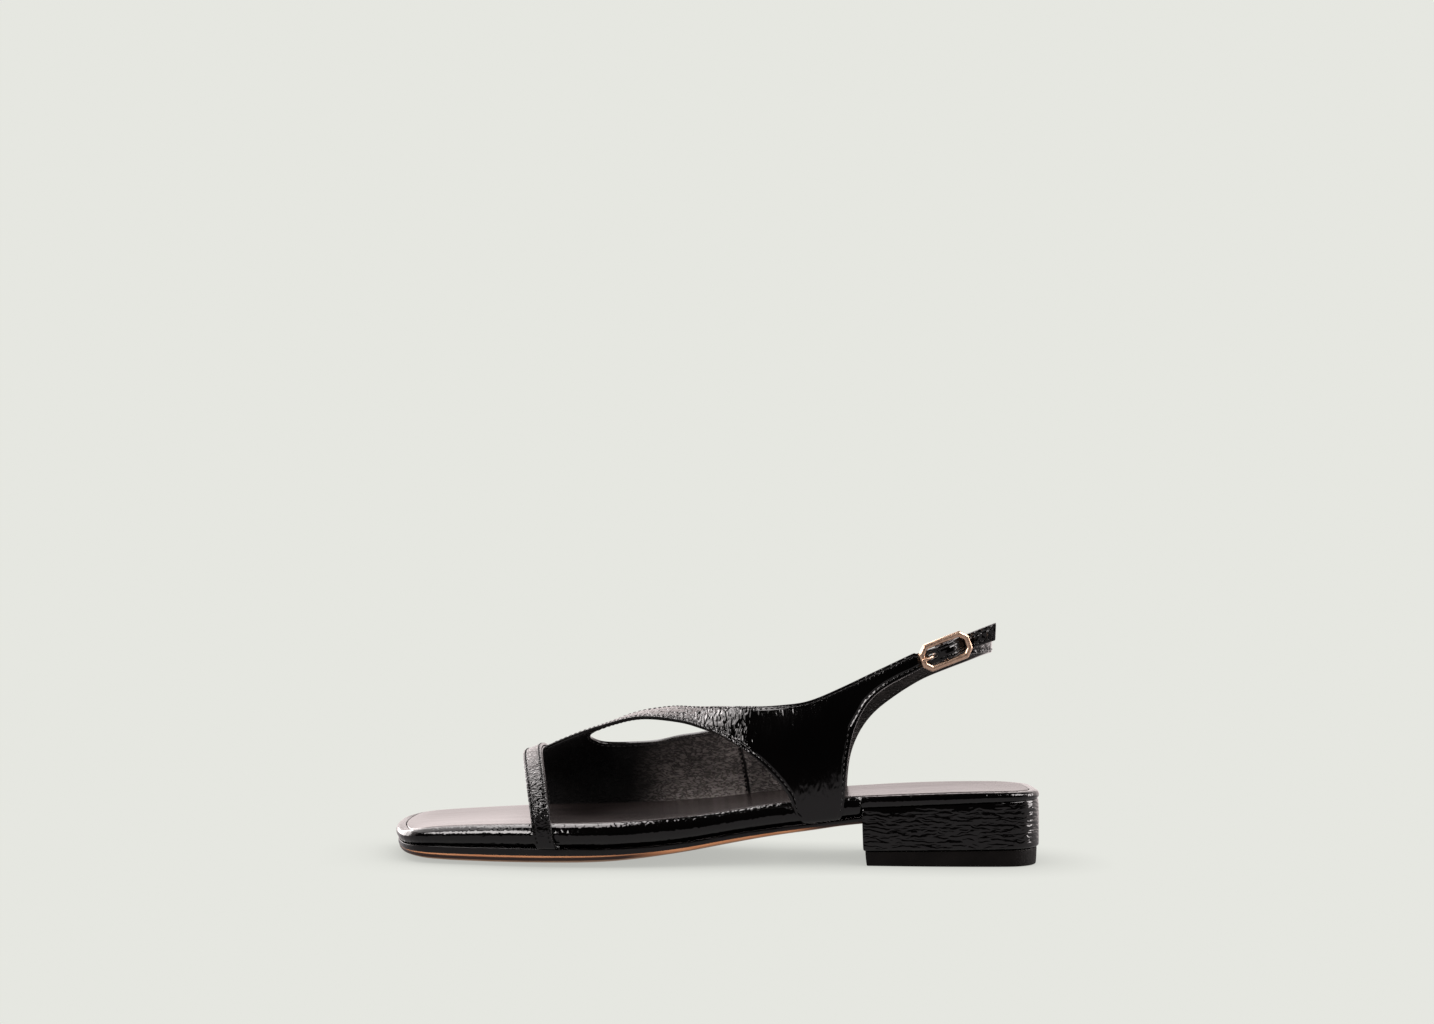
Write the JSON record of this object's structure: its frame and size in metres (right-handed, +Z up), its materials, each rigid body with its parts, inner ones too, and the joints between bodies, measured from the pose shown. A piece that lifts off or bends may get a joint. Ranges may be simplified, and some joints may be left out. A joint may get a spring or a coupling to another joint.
{
  "type": "flat sandal",
  "caption": "Left flat slingback sandal: square open toe, narrow toe band, diagonal instep strap, buckled sling, padded footbed, leather sole and low block heel.",
  "frame": {"origin": "on the floor under the centre of the shoe's bounding box", "axes": "+X from toe to heel along the shoe, -Y the outer (lateral) side with the buckle, +Z up"},
  "size_m": [0.2512, 0.0896, 0.0927],
  "materials": {
    "patent_leather": "crinkled black patent, high gloss",
    "sock_leather": "smooth glossy black",
    "sole_leather": "tan waxed edge, dark underside",
    "lift_rubber": "matte black",
    "rose_metal": "polished pale rose gold plating"
  },
  "bodies": {
    "root": {"outsole": "sole_leather", "footbed": "patent_leather", "insole": "sock_leather", "heel": "patent_leather", "top_lift": "lift_rubber", "upper": "patent_leather", "toe_band": "patent_leather", "buckle_frame": "rose_metal", "buckle_prong": "rose_metal"}
  },
  "joints": []
}
